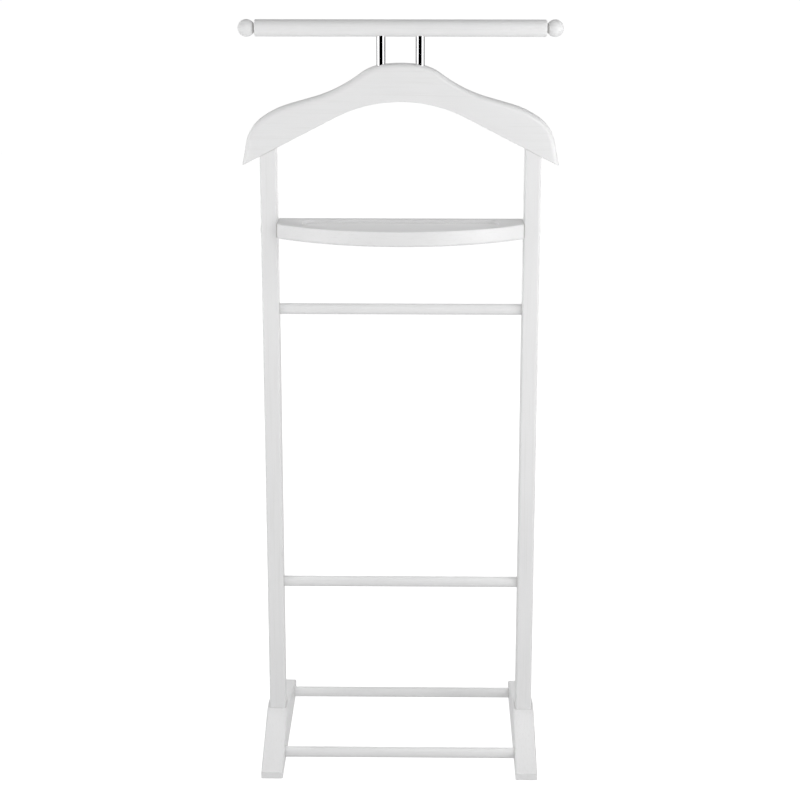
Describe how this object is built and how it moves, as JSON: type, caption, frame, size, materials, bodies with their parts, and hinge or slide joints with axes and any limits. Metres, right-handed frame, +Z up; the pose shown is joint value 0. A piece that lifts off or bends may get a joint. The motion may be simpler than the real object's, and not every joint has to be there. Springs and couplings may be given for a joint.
{
  "type": "valet stand",
  "caption": "White wooden valet stand with a contoured jacket hanger, a round top bar on chrome posts, a bow-fronted tray, trouser rods and a shoe rack between runner feet.",
  "frame": {"origin": "on the floor under the stand, at the middle of its width and of its feet's length", "axes": "+Z up, -Y towards the bowed front of the tray, +X to the right of someone facing the stand"},
  "size_m": [0.457, 0.32, 1.0957],
  "materials": {
    "white_lacquered_wood": "white satin lacquer",
    "chrome_tube": "polished",
    "zinc_plated_steel": "bright zinc plated",
    "beech_dowel": "raw",
    "white_cap_plastic": "semi-gloss",
    "glide_nylon": "moulded"
  },
  "bodies": {
    "root": {"top_bar": "white_lacquered_wood", "left_ball_finial": "white_lacquered_wood", "right_ball_finial": "white_lacquered_wood", "finial_dowels": "beech_dowel", "left_post_tube": "chrome_tube", "right_post_tube": "chrome_tube", "post_bolts": "zinc_plated_steel", "post_bolt_washers": "zinc_plated_steel", "bar_threaded_inserts": "zinc_plated_steel", "hanger": "white_lacquered_wood", "hanger_dowels": "beech_dowel", "left_upright": "white_lacquered_wood", "right_upright": "white_lacquered_wood", "tray": "white_lacquered_wood", "tray_screws": "zinc_plated_steel", "upper_trouser_rod": "white_lacquered_wood", "lower_trouser_rod": "white_lacquered_wood", "trouser_rod_screws": "zinc_plated_steel", "left_foot": "white_lacquered_wood", "right_foot": "white_lacquered_wood", "foot_bolts": "zinc_plated_steel", "foot_bolt_washers": "zinc_plated_steel", "foot_barrel_nuts": "zinc_plated_steel", "foot_dowels": "beech_dowel", "front_foot_rod": "white_lacquered_wood", "rear_foot_rod": "white_lacquered_wood", "foot_rod_screws": "zinc_plated_steel", "left_cover_caps": "white_cap_plastic", "right_cover_caps": "white_cap_plastic", "foot_glides": "glide_nylon"}
  },
  "joints": []
}
